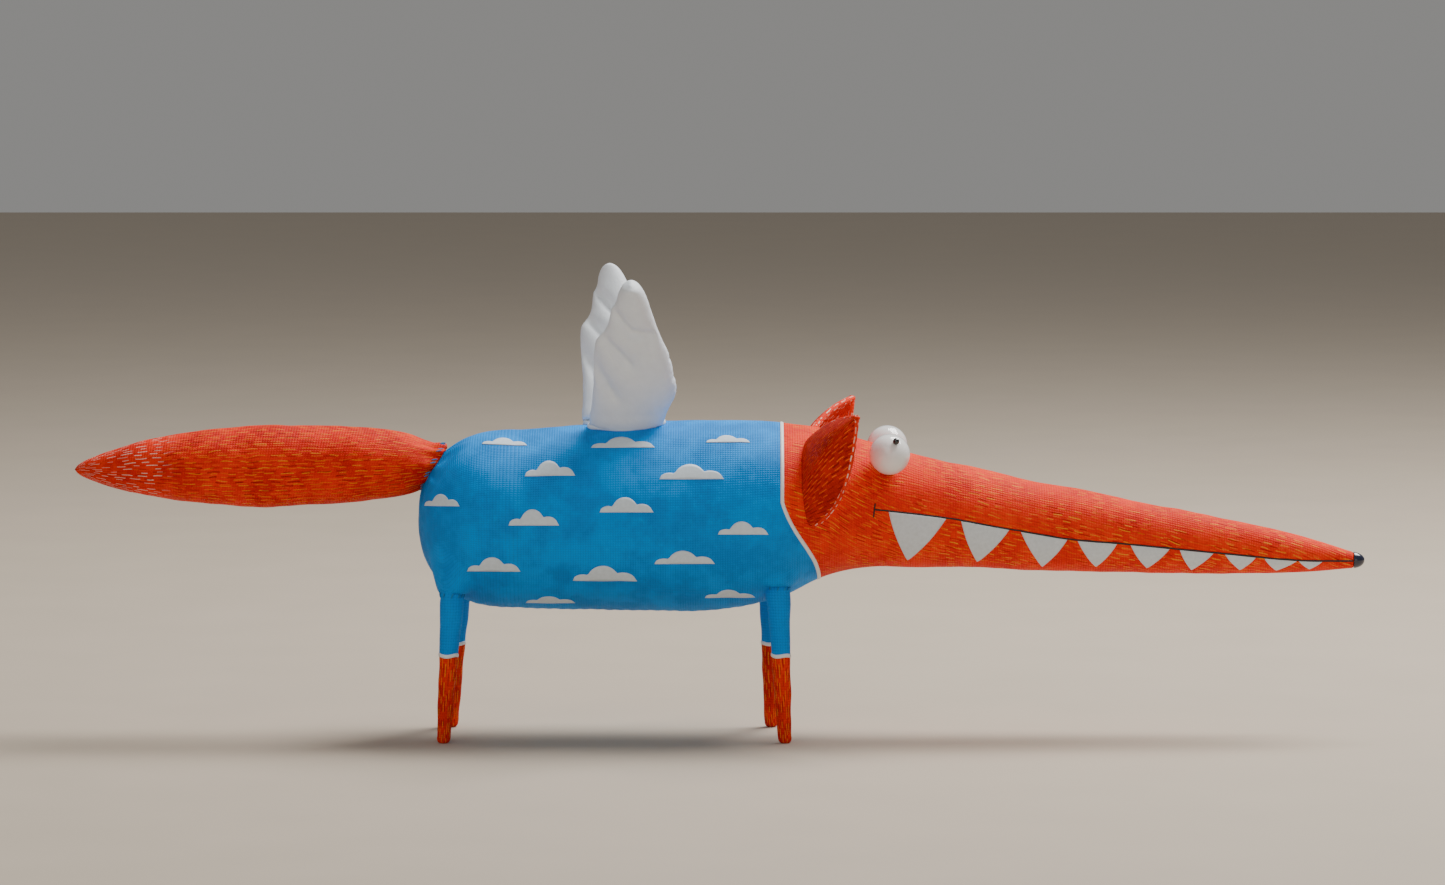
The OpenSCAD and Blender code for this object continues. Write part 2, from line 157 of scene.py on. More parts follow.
def leg_axis(leg, z):
    x, seam_z, y, foot_x, foot_y = leg
    t = 1 - z / seam_z
    return Vector((mix(x, foot_x, t), mix(y, foot_y, t), z))


def hips(point):
    """Pulls the underside of the torso down into a short sleeve round each leg's seam."""
    for leg in LEGS.values():
        axis = leg_axis(leg, point.z)
        off = math.hypot(point.x - axis.x, point.y - axis.y)
        reach = smooth((8.5 - off) / 4.5)
        if reach > 0 and point.z < 62:
            seam = leg[1] + 0.4 * math.cos(off * 2)
            point.z = mix(point.z, min(point.z, seam), reach)
    return point


def body(x, angle, out=0.0):
    """Point of the finished skin of torso and head, at a distance out from it."""
    mid, tall, wide = section(x)
    point = Vector((x, math.cos(angle) * wide, mid + math.sin(angle) * tall))
    normal = Vector((0, math.cos(angle) / max(wide, 1), math.sin(angle) / max(tall, 1))).normalized()
    if x < RUMP_END:
        normal = (normal + Vector(((x - RUMP_END) / 40, 0, 0))).normalized()
    fade = smooth((SNOUT_END - x) / 40)
    height = lump(*point, 17, 0.5) * fade + lump(*point, 5.5, 0.14) * fade
    below = math.cos(angle + math.pi / 2)
    if below > 0.96 and x < 18:  # the belly's seam, drawn in at each stitch
        near = smooth((below - 0.96) / 0.04)
        height -= near * (0.16 + 0.07 * math.sin(x * 2 * math.pi / 3.6))
    to_tail = (point - TAIL_ROOT).length
    if to_tail < 17:  # cloth drawn in round the tail's seam, in radial puckers
        turn = math.atan2(point.y, point.z - TAIL_ROOT.z)
        ring = smooth((17 - to_tail) / 8) * smooth((to_tail - 5.5) / 3)
        height += ring * (0.32 * math.sin(turn * 13 + 2 * math.sin(turn * 3)) - 0.25)
    point += normal * (height + out)
    return hips(point)


def angle_seen(x, height, side):
    """Angle round the section of the point seen at a height from a low view from the side."""
    mid, tall, wide = section(x)
    rise = math.sin(CAMERA_RISE)
    reach = math.hypot(tall, wide * rise)
    a = math.asin(max(-1, min(1, (height - mid) / reach))) + math.atan2(wide * rise, tall)
    return math.pi - a if side == RIGHT else a


# ---------------------------------------------------------------- camera, light and floor

CAMERA_RISE = math.radians(4.8)
CAMERA_FAR = 2200.0
VIEW_MIDDLE = Vector((0.75, 0, 88.3))
VIEW_WIDTH = 433.5  # of the frame at the figure's middle plane


def aim(thing, target):
    direction = Vector(target) - thing.location
    thing.rotation_euler = direction.to_track_quat("-Z", "Y").to_euler()


def camera():
    data = bpy.data.cameras.new("camera")
    data.sensor_width = 36
    data.lens = 36 * CAMERA_FAR / VIEW_WIDTH
    data.clip_end = 20
    thing = bpy.data.objects.new("camera", data)
    back = Vector((0, -math.cos(CAMERA_RISE), math.sin(CAMERA_RISE)))
    thing.location = (VIEW_MIDDLE + back * CAMERA_FAR) * MM
    bpy.context.scene.collection.objects.link(thing)
    aim(thing, VIEW_MIDDLE * MM)
    bpy.context.scene.camera = thing


def light(name, place, size, power, colour):
    data = bpy.data.lights.new(name, "AREA")
    data.shape = "RECTANGLE"
    data.size, data.size_y = size
    data.energy = power
    data.color = colour
    thing = bpy.data.objects.new(name, data)
    thing.location = place
    bpy.context.scene.collection.objects.link(thing)
    aim(thing, (0, 0, 0.07))


def studio():
    light("window", (0.5, 0.35, 1.1), (0.8, 0.6), 27, (1.0, 0.99, 0.97))
    light("room", (-0.5, -1.3, 0.9), (1.2, 0.9), 4.6, (1.0, 0.97, 0.93))
    light("low_room", (0.3, -1.5, 0.25), (1.4, 0.6), 2.0, (1.0, 0.96, 0.92))
    world = bpy.data.worlds.new("room_light")
    world.use_nodes = True
    world.node_tree.nodes["Background"].inputs["Color"].default_value = (0.75, 0.74, 0.72, 1)
    world.node_tree.nodes["Background"].inputs["Strength"].default_value = 0.34
    bpy.context.scene.world = world


# ---------------------------------------------------------------- materials


def hex_colour(code):
    """Linear colour of an sRGB hex value."""
    parts = [int(code[i : i + 2], 16) / 255 for i in (0, 2, 4)]
    return (*[c / 12.92 if c <= 0.04045 else ((c + 0.055) / 1.055) ** 2.4 for c in parts], 1)


def add(tree, kind, inputs=None, **settings):
    """Adds a node with its settings. An input is a value, or a socket to link from."""
    node = tree.nodes.new(kind)
    for key, value in settings.items():
        setattr(node, key, value)
    for key, value in (inputs or {}).items():
        socket = node.inputs[key]
        if isinstance(value, bpy.types.NodeSocket):
            tree.links.new(value, socket)
        else:
            socket.default_value = value
    return node


def sums(tree, operation, a, b=0.0, c=0.0):
    node = add(tree, "ShaderNodeMath", {0: a, 1: b, 2: c}, operation=operation)
    return node.outputs[0]


def blended(tree, amount, a, b, how="MIX"):
    node = add(tree, "ShaderNodeMix", data_type="RGBA", blend_type=how)
    for key, value in ((0, amount), (6, a), (7, b)):
        if isinstance(value, bpy.types.NodeSocket):
            tree.links.new(value, node.inputs[key])
        else:
            node.inputs[key].default_value = value
    return node.outputs[2]


def ramp(tree, value, low, high):
    """0 below low, 1 above high, smooth between."""
    node = add(
        tree, "ShaderNodeMapRange",
        {"Value": value, "From Min": low, "From Max": high}, interpolation_type="SMOOTHSTEP",
    )
    return node.outputs["Result"]


def noise_at(tree, place, size_mm, detail=2.0, rough=0.5):
    """Noise whose blotches are about size_mm across, on coordinates in metres."""
    node = add(
        tree, "ShaderNodeTexNoise",
        {"Vector": place, "Scale": 1 / (size_mm * MM), "Detail": detail, "Roughness": rough},
    )
    return node.outputs["Fac"]


def new_material(name):
    material = bpy.data.materials.new(name)
    material.use_nodes = True
    tree = material.node_tree
    shader = tree.nodes["Principled BSDF"]
    place = add(tree, "ShaderNodeTexCoord").outputs["Object"]
    return material, tree, shader, place


FLOW_UNIT = 1000.0  # millimetres to one unit of the flow map


def flow_mm(tree):
    """Distance along and across the cloth, in millimetres, from the piece's own flow map."""
    uv = add(tree, "ShaderNodeUVMap", uv_map="flow").outputs["UV"]
    parts = add(tree, "ShaderNodeSeparateXYZ", {"Vector": uv})
    along = sums(tree, "MULTIPLY", parts.outputs["X"], FLOW_UNIT)
    across = sums(tree, "MULTIPLY", parts.outputs["Y"], FLOW_UNIT)
    return along, across


# Plain cotton of 15 threads to the centimetre, drawn a little coarser so that it shows.
THREAD_MM = 0.74


def weave(tree, along, across):
    """Height of a plain weave: warp and weft cross over and under in turn."""
    turn = math.pi / THREAD_MM
    warp = sums(tree, "SINE", sums(tree, "MULTIPLY", along, turn))
    weft = sums(tree, "SINE", sums(tree, "MULTIPLY", across, turn))
    return sums(tree, "ABSOLUTE", sums(tree, "MULTIPLY", warp, weft))


MISSING_DASHES = 0.12  # share of the dashes that the brush skipped


def strokes(tree, along, across, place, row_mm, length_mm, thick, seed):
    """Short brush dashes in staggered rows: how much of their paint lies on each point."""
    waver = noise_at(tree, place, 6, 1)
    across = sums(tree, "MULTIPLY_ADD", waver, row_mm * 0.9, across)
    rows = sums(tree, "MULTIPLY_ADD", across, 1 / row_mm, seed * 31.7)
    row = sums(tree, "FLOOR", rows)
    offset = add(tree, "ShaderNodeTexWhiteNoise", {"W": row}, noise_dimensions="1D")
    start = sums(tree, "MULTIPLY", offset.outputs["Value"], 9.0)
    steps = sums(tree, "MULTIPLY_ADD", along, 1 / length_mm, start)
    step = sums(tree, "FLOOR", steps)
    cell = add(tree, "ShaderNodeCombineXYZ", {"X": step, "Y": row, "Z": float(seed)})
    chance = add(
        tree, "ShaderNodeTexWhiteNoise", {"Vector": cell.outputs["Vector"]},
        noise_dimensions="3D",
    )
    kinds = add(tree, "ShaderNodeSeparateColor", {"Color": chance.outputs["Color"]})
    middle = sums(tree, "MULTIPLY_ADD", kinds.outputs["Blue"], 0.24, 0.38)
    out_row = sums(tree, "ABSOLUTE", sums(tree, "SUBTRACT", sums(tree, "FRACT", rows), middle))
    out_step = sums(tree, "ABSOLUTE", sums(tree, "SUBTRACT", sums(tree, "FRACT", steps), 0.5))
    long = sums(tree, "MULTIPLY_ADD", kinds.outputs["Green"], 0.2, 0.24)
    taper = sums(tree, "SUBTRACT", long, out_step)
    ends = ramp(tree, taper, 0.0, 0.09)
    width = sums(tree, "MULTIPLY", thick, ends)
    line = ramp(tree, sums(tree, "SUBTRACT", width, out_row), -0.04, 0.08)
    there = sums(tree, "GREATER_THAN", kinds.outputs["Red"], MISSING_DASHES)
    loaded = sums(tree, "MULTIPLY_ADD", kinds.outputs["Red"], 0.6, 0.4)
    mask = sums(tree, "MULTIPLY", sums(tree, "MULTIPLY", line, there), loaded)
    return sums(tree, "MULTIPLY", mask, ends)


def bump(tree, shader, height, distance_mm, strength):
    node = add(
        tree, "ShaderNodeBump",
        {"Height": height, "Distance": distance_mm * MM, "Strength": strength},
    )
    tree.links.new(node.outputs["Normal"], shader.inputs["Normal"])


def painted_cloth(name, base, dark, light_colour, dashes=(), rough=0.66, above=None, patch=0.6):
    """Acrylic paint brushed over primed plain cotton: satin, with the weave showing through and
    painted shade in its gaps.

    dashes are (colour, row, length, thickness, seed, mask) and above is (z, base, dark) for a
    second ground colour above a height.
    """
    material, tree, shader, place = new_material(name)
    along, across = flow_mm(tree)
    thread = weave(tree, along, across)
    blotch = noise_at(tree, place, 11, 3, 0.6)
    fine = noise_at(tree, place, 1.6, 3, 0.7)
    ground = blended(tree, ramp(tree, blotch, 0.36, 0.66), hex_colour(dark), hex_colour(base))
    pale = sums(tree, "MULTIPLY", ramp(tree, fine, 0.5, 0.75), patch)
    ground = blended(tree, pale, ground, hex_colour(light_colour))
    paint = fine
    for colour, row_mm, length_mm, thick, seed, reach in dashes:
        mask = strokes(tree, along, across, place, row_mm, length_mm, thick, seed)
        if reach:
            mask = sums(tree, "MULTIPLY", mask, reach(tree, along, across, place))
        ground = blended(tree, mask, ground, hex_colour(colour))
        paint = sums(tree, "MULTIPLY_ADD", mask, 0.7, paint)
    if above:
        z = add(tree, "ShaderNodeSeparateXYZ", {"Vector": place}).outputs["Z"]
        upper = blended(tree, blotch, hex_colour(above[2]), hex_colour(above[1]))
        over = ramp(tree, z, above[0] * MM - 1e-5, above[0] * MM + 1e-5)
        ground = blended(tree, over, ground, upper)
    # Painted shade: the colour is darkened in the low gaps of the weave between the threads, where
    # shade falls.
    gap_shade_mask = ramp(tree, thread, 0.0, 0.35)
    painted_gap_shade = sums(tree, "MULTIPLY_ADD", gap_shade_mask, 0.16, 0.84)
    gap_shade_tint = add(tree, "ShaderNodeCombineColor", {"Red": painted_gap_shade, "Green": painted_gap_shade, "Blue": painted_gap_shade})
    # painted shade multiplied into the ground colour in the weave's gaps
    ground = blended(tree, 1.0, ground, gap_shade_tint.outputs["Color"], "MULTIPLY")
    tree.links.new(ground, shader.inputs["Base Color"])
    shader.inputs["Specular IOR Level"].default_value = 0.18
    tree.links.new(sums(tree, "MULTIPLY_ADD", fine, 0.22, rough - 0.1), shader.inputs["Roughness"])
    height = sums(tree, "MULTIPLY_ADD", paint, 0.5, thread)
    bump(tree, shader, height, 0.13, 0.8)
    return material


def plain(name, colour, rough, metallic=0.0, grain=(3.0, 0.12), deep=0.03, coat=0.0):
    """A finish with slow colour change and fine relief. grain is the blotches' size in mm and how
    much they darken, and deep is the relief in mm.
    """
    material, tree, shader, place = new_material(name)
    mottle = noise_at(tree, place, grain[0], 3)
    low = [c * (1 - grain[1]) for c in hex_colour(colour)[:3]] + [1]
    tree.links.new(blended(tree, mottle, low, hex_colour(colour)), shader.inputs["Base Color"])
    shader.inputs["Metallic"].default_value = metallic
    shader.inputs["Coat Weight"].default_value = coat
    shader.inputs["Coat Roughness"].default_value = 0.08
    uneven = sums(tree, "MULTIPLY_ADD", mottle, 0.1, rough - 0.05)
    tree.links.new(uneven, shader.inputs["Roughness"])
    bump(tree, shader, noise_at(tree, place, grain[0] / 3, 4), deep, 0.6)
    return material


# Masks for dashes: where on a piece they were painted.


def tail_tip_only(tree, along, across, place):
    return ramp(tree, along, 30.0, 22.0)


def not_tail_tip(tree, along, across, place):
    return sums(tree, "MULTIPLY_ADD", ramp(tree, along, 22.0, 34.0), 0.8, 0.2)


def faded_middle(tree, along, across, place):
    """Dashes lie thicker in some places than in others."""
    return sums(tree, "MULTIPLY_ADD", ramp(tree, noise_at(tree, place, 9, 2), 0.35, 0.6), 0.75, 0.25)


YELLOW_DASH, ORANGE_DASH, WHITE_DASH = "FF9A18", "FF6412", "FFD2BC"


def make_materials():
    m = {}
    m["blue"] = painted_cloth(
        "jumper_acrylic_on_cotton", "0098F4", "0084DA", "10AAFF", rough=0.62, patch=0.3)
    m["head"] = painted_cloth(
        "fox_acrylic_on_cotton", "FF3000", "E61C00", "FF4408",
        dashes=(
            (ORANGE_DASH, 1.15, 4.6, 0.16, 3, faded_middle),
            (YELLOW_DASH, 1.7, 5.0, 0.11, 1, faded_middle),
            ("B41000", 1.45, 5.0, 0.13, 5, faded_middle),
        ))
    m["tail"] = painted_cloth(
        "tail_acrylic_on_cotton", "F82800", "D61600", "FF3A08",
        dashes=(
            (ORANGE_DASH, 1.15, 4.8, 0.14, 3, not_tail_tip),
            (YELLOW_DASH, 1.8, 5.2, 0.08, 1, not_tail_tip),
            ("A00C00", 1.5, 5.2, 0.15, 5, faded_middle),
            (WHITE_DASH, 1.5, 4.4, 0.14, 8, tail_tip_only),
        ))
    m["leg"] = painted_cloth(
        "leg_acrylic_on_cotton", "F02A00", "D01A00", "FF4210",
        dashes=(
            (YELLOW_DASH, 0.95, 5.2, 0.13, 1, None),
            ("A01000", 0.9, 5.0, 0.18, 5, None),
        ),
        above=(CUFF_Z, "0098F4", "0084DA"))
    m["ear_back"] = painted_cloth(
        "ear_back_acrylic_on_cotton", "D42000", "B01400", "E83408",
        dashes=(
            (ORANGE_DASH, 0.95, 4.4, 0.12, 1, None),
            ("8E0A00", 0.9, 4.2, 0.16, 5, None),
        ))
    m["ear_lining"] = painted_cloth(
        "ear_lining_acrylic_on_cotton", "EC3C1C", "D82C10", "F05A3C",
        dashes=((WHITE_DASH, 1.45, 3.2, 0.2, 2, None),))
    m["ear_rim"] = painted_cloth(
        "ear_rim_acrylic_on_cotton", "F63406", "E02400", "FF5018",
        dashes=((WHITE_DASH, 1.1, 2.2, 0.2, 2, None),))
    # Thick matt gesso and white acrylic, which fills the weave and dries chalky.
    m["wing"] = plain("gesso_white_acrylic", "ECF2F8", 0.62, grain=(2.4, 0.1), deep=0.12)
    m["cloud"] = plain("cloud_white_acrylic", "DFECF6", 0.6, grain=(1.1, 0.22), deep=0.08)
    m["tooth"] = plain("tooth_white_acrylic", "DFE8EE", 0.6, grain=(1.0, 0.25), deep=0.09)
    m["line_white"] = plain("line_white_acrylic", "EDF0F0", 0.5, grain=(1.2, 0.1), deep=0.05)
    # Brush-pen ink: nearly black, with a brown edge where it is thin.
    m["ink"] = plain("mouth_ink", "241410", 0.5, grain=(0.8, 0.5), deep=0.02)
    # Acrylic bead: moulded white plastic with a clear glossy surface.
    m["bead"] = plain("moulded_white_bead", "F1F0EE", 0.16, grain=(8, 0.02), deep=0.002, coat=0.6)
    m["pin"] = plain("black_enamel_pin", "06070C", 0.14, grain=(0.6, 0.3), deep=0.004, coat=0.8)
    m["nose"] = plain("navy_lacquer", "101A3C", 0.24, grain=(0.9, 0.5), deep=0.03, coat=0.7)
    m["wadding"] = plain("polyester_wadding", "E9E6DC", 0.9, grain=(2.0, 0.2), deep=0.3)
    m["wood"] = plain("birch_dowel", "C9A46E", 0.6, grain=(1.2, 0.25), deep=0.05)
    m["wire"] = plain("galvanised_wire", "A9ACAE", 0.35, metallic=1.0, grain=(1.5, 0.2), deep=0.01)
    m["blue_thread"] = plain("thread_under_blue_paint", "0A86C4", 0.6, grain=(0.5, 0.3), deep=0.05)
    m["white_thread"] = plain("cotton_thread", "E2DED2", 0.8, grain=(0.5, 0.3), deep=0.05)
    m["floor"] = plain("pale_board", "BEB09E", 0.7, grain=(40, 0.08), deep=0.05)
    return m


# ---------------------------------------------------------------- modelling tools


def deselect():
    if bpy.context.mode != "OBJECT":
        bpy.ops.object.mode_set(mode="OBJECT")
    bpy.ops.object.select_all(action="DESELECT")


def only(piece):
    deselect()
    piece.select_set(True)
    bpy.context.view_layer.objects.active = piece


def applied(piece, kind, **settings):
    only(piece)
    modifier = piece.modifiers.new(kind.lower(), kind)
    for key, value in settings.items():
        setattr(modifier, key, value)
    bpy.ops.object.modifier_apply(modifier=modifier.name)
    return piece


def sheet(name, columns, rows, place, flow, merge_mm=0.02):
    """A grid of cloth wrapped into shape: place(u, v) and its flow(u, v), both in mm."""
    deselect()
    bpy.ops.mesh.primitive_grid_add(x_subdivisions=columns, y_subdivisions=rows, size=2)
    piece = bpy.context.object
    piece.name = piece.data.name = name
    mesh = piece.data
    spots = [((v.co.x + 1) / 2, (v.co.y + 1) / 2) for v in mesh.vertices]
    layer = mesh.uv_layers.active
    layer.name = "flow"
    for loop in mesh.loops:
        layer.data[loop.index].uv = Vector(flow(*spots[loop.vertex_index])) / FLOW_UNIT
    for vertex, spot in zip(mesh.vertices, spots):
        vertex.co = Vector(place(*spot)) * MM
    bpy.ops.object.mode_set(mode="EDIT")
    bpy.ops.mesh.select_all(action="SELECT")
    bpy.ops.mesh.remove_doubles(threshold=merge_mm * MM)
    bpy.ops.mesh.normals_make_consistent(inside=False)
    bpy.ops.object.mode_set(mode="OBJECT")
    bpy.ops.object.shade_smooth()
    return piece


def finished(piece, material, body_name, replaced=()):
    piece.data.materials.clear()
    piece.data.materials.append(material)
    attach(piece, body_name)
    if replaced:
        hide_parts(*replaced)
    return piece


def outward(piece, inside):
    """Turns the faces of an open sheet away from a point inside, in mm."""
    mesh = piece.data
    out = sum((p.center - Vector(inside) * MM).dot(p.normal) * p.area for p in mesh.polygons)
    if out < 0:
        mesh.flip_normals()
    return piece


def thickened(piece, thick_mm):
    """Gives an open sheet a wall behind its face."""
    return applied(piece, "SOLIDIFY", thickness=thick_mm * MM, offset=-1, use_even_offset=True)


def roll(name, points, radius, sides=14):
    """A round roll of cloth along points in mm."""
    count = len(points) - 1

    def ring(t, turn):
        i = min(int(t * count + 1e-6), count)
        before, after = points[max(i - 1, 0)], points[min(i + 1, count)]
        along = (after - before).normalized()
        side = along.cross(Vector((0.3, 0.1, 1))).normalized()
        up = side.cross(along)
        return points[i] + side * math.cos(turn) * radius + up * math.sin(turn) * radius

    length = sum((b - a).length for a, b in zip(points, points[1:]))
    return sheet(
        name, count, sides,
        lambda u, v: ring(u, 2 * math.pi * v),
        lambda u, v: (u * length, v * 6), merge_mm=0.004,
    )


# ---------------------------------------------------------------- torso, head and tail

RUMP_SHARE = 0.32  # of the torso's length of cloth that goes into the rounded rump
RUMP_ARC = 42  # length of cloth over the rump, from its pole to the barrel
GIRTH_R = 27.5  # mean radius of the torso, for the flow of its weave
NECK_SHARE = 0.12  # of the head's grid between the slanted neckline and the first plain slice
SETTLED_X = 42  # x of that slice
SNOUT_SHARE = 0.97  # the rest of the grid closes the snout's end
SEAM_DOWN = -math.pi / 2  # the cloth's seam runs along the belly


def torso_spot(u, v):
    angle = SEAM_DOWN + 2 * math.pi * v
    if u < RUMP_SHARE:
        turn = math.pi / 2 * u / RUMP_SHARE
        return RUMP_END + (RUMP_X - RUMP_END) * math.cos(turn) ** (2 / RUMP_POWER), angle
    return mix(RUMP_END, neckline_x(angle), (u - RUMP_SHARE) / (1 - RUMP_SHARE)), angle


def torso_flow(u, v):
    x, angle = torso_spot(u, v)
    along = RUMP_END - RUMP_ARC * (1 - u / RUMP_SHARE) if u < RUMP_SHARE else x
    return along, (angle - math.pi / 2) * GIRTH_R


def torso(material):
    piece = sheet("torso_skin", 170, 150, lambda u, v: body(*torso_spot(u, v)), torso_flow)
    outward(piece, (-30, 0, 66))
    thickened(piece, 0.8)
    finished(piece, material, "figure", ["torso_cover"])


def head_spot(u, v):
    angle = SEAM_DOWN + 2 * math.pi * v
    if u < NECK_SHARE:
        return mix(neckline_x(angle), SETTLED_X, u / NECK_SHARE), angle
    along = min(1, (u - NECK_SHARE) / (SNOUT_SHARE - NECK_SHARE))
    return mix(SETTLED_X, SNOUT_END, along), angle


def head_point(u, v):
    x, angle = head_spot(u, v)
    point = body(x, angle)
    if u > SNOUT_SHARE:
        mid = section(SNOUT_END)[0]
        point = point.lerp(Vector((SNOUT_END, 0, mid)), (u - SNOUT_SHARE) / (1 - SNOUT_SHARE))
    return point


EYE_X, EYE_ARC = 48.9, 13.6  # where an eye sits on the flow map of the head
EYE_STEM = 3.0  # the brush rows part round it as a stream does round a post


def head_flow(u, v):
    x, angle = head_spot(u, v)
    mid, tall, wide = section(x)
    arc = (angle - math.pi / 2) * (tall + wide) / 2
    side = 1 if arc > 0 else -1
    off_x, off_arc = x - EYE_X, abs(arc) - EYE_ARC
    away = max(off_x**2 + off_arc**2, EYE_STEM**2)
    parted = off_arc * (1 - EYE_STEM**2 / away)
    return x, side * (parted + EYE_ARC)


def head(material):
    piece = sheet("head_skin", 220, 120, head_point, head_flow)
    outward(piece, (60, 0, 67))
    thickened(piece, 0.8)
    finished(piece, material, "figure", ["head_cover"])


def tail_point(u, v, out=0.0):
    turn = 2 * math.pi * v
    along = Vector((math.cos(TAIL_RISE), 0, math.sin(TAIL_RISE)))
    up = Vector((-math.sin(TAIL_RISE), 0, math.cos(TAIL_RISE)))
    spoke = Vector((0, 1, 0)) * math.sin(turn) + up * math.cos(turn)
    face = Vector((math.cos(TAIL_ROOT_TURN), 0, -math.sin(TAIL_ROOT_TURN)))
    root_r = TAIL[-1][1]
    end = (1.2 - (TAIL_TIP + spoke * root_r - TAIL_ROOT).dot(face)) / along.dot(face)
    close = clamp((u - 0.95) / 0.05)
    s = end * min(u / 0.95, 1)
    r = max(0.05, curve(TAIL, min(s, TAIL[-1][0]), 1)) if u > 0 else 0
    r *= 1 - 0.12 * clamp((s - (end - 3)) / 3) ** 2
    fade = smooth(s / 20)
    point = TAIL_TIP + along * s + spoke * r
    height = lump(*point, 13, 0.5) * fade + lump(*point, 4.5, 0.16) * fade
    sideways = abs(abs(math.sin(turn)) - 1) * r
    if sideways < 0.5 and s > 4:  # the seam along each side, drawn in at every stitch
        height -= smooth((0.5 - sideways) / 0.5) * (0.16 + 0.12 * math.sin(s * 2 * math.pi / 3.2))
    gather = smooth((s - (end - 13)) / 11)
    height += gather * (0.34 * math.sin(turn * 11 + 2 * math.sin(turn * 2)) - 0.1)
    point += spoke * (height + out)
    if close:
        centre = TAIL_TIP + along * (-(TAIL_TIP - TAIL_ROOT).dot(face) / along.dot(face))
        point = point.lerp(centre, close)
    return point


def tail_flow(u, v):
    return u * TAIL[-1][0], (v - 0.5) * 2 * math.pi * TAIL_GIRTH_R


def tail(material):
    piece = sheet("tail_skin", 150, 96, tail_point, tail_flow)
    outward(piece, (-140, 0, 82))
    finished(piece, material, "figure", ["tail_cover"])


# ---------------------------------------------------------------- legs


def leg_point(leg, z, turn, out=0.0):
    """Point on a leg's cloth, which is drawn in by a ring of stitches at the seam."""
    seam = leg[1]
    if z < 1.6:  # rounded foot with a small flat under it
        r = mix(1.0, FOOT_R, math.sqrt(clamp(1 - (1 - z / 1.6) ** 2)))
    elif z < CUFF_Z:
        r = mix(FOOT_R, LEG_CUFF_R, (z - 1.6) / (CUFF_Z - 1.6))
    else:
        r = mix(LEG_CUFF_R, LEG_TOP_R, clamp((z - CUFF_Z) / (seam - CUFF_Z)))
    axis = leg_axis(leg, z)
    near_seam = math.exp(-((z - seam + 0.6) ** 2) / 1.2)
    r -= near_seam * (0.25 + 0.2 * math.cos(turn * 10))
    if z > 2:
        r += lump(axis.x + 5 * math.cos(turn), axis.y + 5 * math.sin(turn), z, 6, 0.3)
    return axis + Vector((math.cos(turn), math.sin(turn), 0)) * (r + out)


def leg(name, material):
    spec = LEGS[name]
    sole, top = 0.03, spec[1] + 4.5

    def place(u, v):
        turn = 2 * math.pi * v
        if u < sole:
            return leg_axis(spec, 0).lerp(leg_point(spec, 0, turn), u / sole)
        if u > 1 - sole:
            return leg_axis(spec, top).lerp(leg_point(spec, top, turn), (1 - u) / sole)
        z = (top + 1e-6) * ((u - sole) / (1 - 2 * sole)) ** 1.15
        return leg_point(spec, z, turn)

    piece = sheet("leg_" + name + "_cloth", 100, 44, place, lambda u, v: (u * top, v * 18))
    finished(piece, material, "figure", ["leg_" + name])


def cuff(name, material):
    spec = LEGS[name]

    def place(u, v):
        turn = 2 * math.pi * u
        z = CUFF_Z + (v - 0.5) * 1.15 + 0.18 * math.sin(turn * 3 + len(name))
        return leg_point(spec, z, turn, 0.1 + 0.14 * (1 - (2 * v - 1) ** 2))

    piece = sheet("cuff_" + name, 64, 6, place, lambda u, v: (u * 18, v))
    outward(piece, leg_axis(spec, CUFF_Z))
    thickened(piece, 0.12)
    finished(piece, material, "figure")


# ---------------------------------------------------------------- paint on the skin

# Clouds as seen from the side: [left x, height of the flat base, width, height].
CLOUDS = (
    (-71, 87.6, 13.5, 2.1), (-38.4, 86.7, 19, 3.3), (-4.2, 88.2, 13.2, 2.1),
    (-58, 78.3, 15, 4.5), (-18, 77.4, 19.2, 4.5), (-88.2, 69.3, 10.8, 4.5),
    (-62.7, 63.6, 15, 4.8), (-35.7, 67.5, 16, 4.5), (-0.6, 60.9, 15, 3.9),
    (-75.3, 49.8, 16, 4.2), (-43.8, 47.1, 19.2, 4.5), (-19.5, 52.2, 18, 3.9),
    (-58, 40.2, 14.7, 2.1), (-4.5, 42, 15, 2.4),
)
# Three rounded puffs of a cloud: middle and half width as shares of its width, and height.
PUFFS = ((0.16, 0.16, 0.42), (0.47, 0.25, 1.0), (0.78, 0.2, 0.56))


def puff_height(u):
    tops = [h * math.sqrt(max(0, 1 - ((u - c) / w) ** 2)) for c, w, h in PUFFS]
    flat = 0.16 * math.sqrt(max(0, 1 - (2 * u - 1) ** 2))
    return max(flat, *tops)


def paint_patch(name, columns, rows, spot, side, material, out=0.14):
    """Paint lying on the skin: spot(u, v) is the x and the height that the side view shows."""

    def place(u, v):
        x, height = spot(u, v)
        return body(x, angle_seen(x, height, side), out)

    piece = sheet(name, columns, rows, place, spot, merge_mm=0.01)
    x = piece.data.vertices[0].co.x / MM
    outward(piece, (x, 0, section(x)[0]))
    thickened(piece, out - 0.03)
    return finished(piece, material, "figure")


def clouds(material):
    for word, side in SIDES.items():
        for i, (x, base, width, height) in enumerate(CLOUDS):
            if side == LEFT:
                x = x + 11 if x < -2 else x - 84
                width *= 1.04 - 0.02 * (i % 4)
            near_rump = 0.8 if x < -80 else 1

            def spot(u, v, x=x, base=base, width=width, height=height):
                return x + width * u, base + height * v * puff_height(u) * near_rump

            paint_patch(f"cloud_{word}_{i + 1}", 36, 6, spot, side, material)


# Line of the mouth as seen from the side.
MOUTH = (
    (45.9, 68.3), (67.6, 65.7), (86.4, 62.3), (104, 59.4), (118.7, 58.1),
    (147.5, 55.3), (172.7, 52.9), (190, 52.6),
)
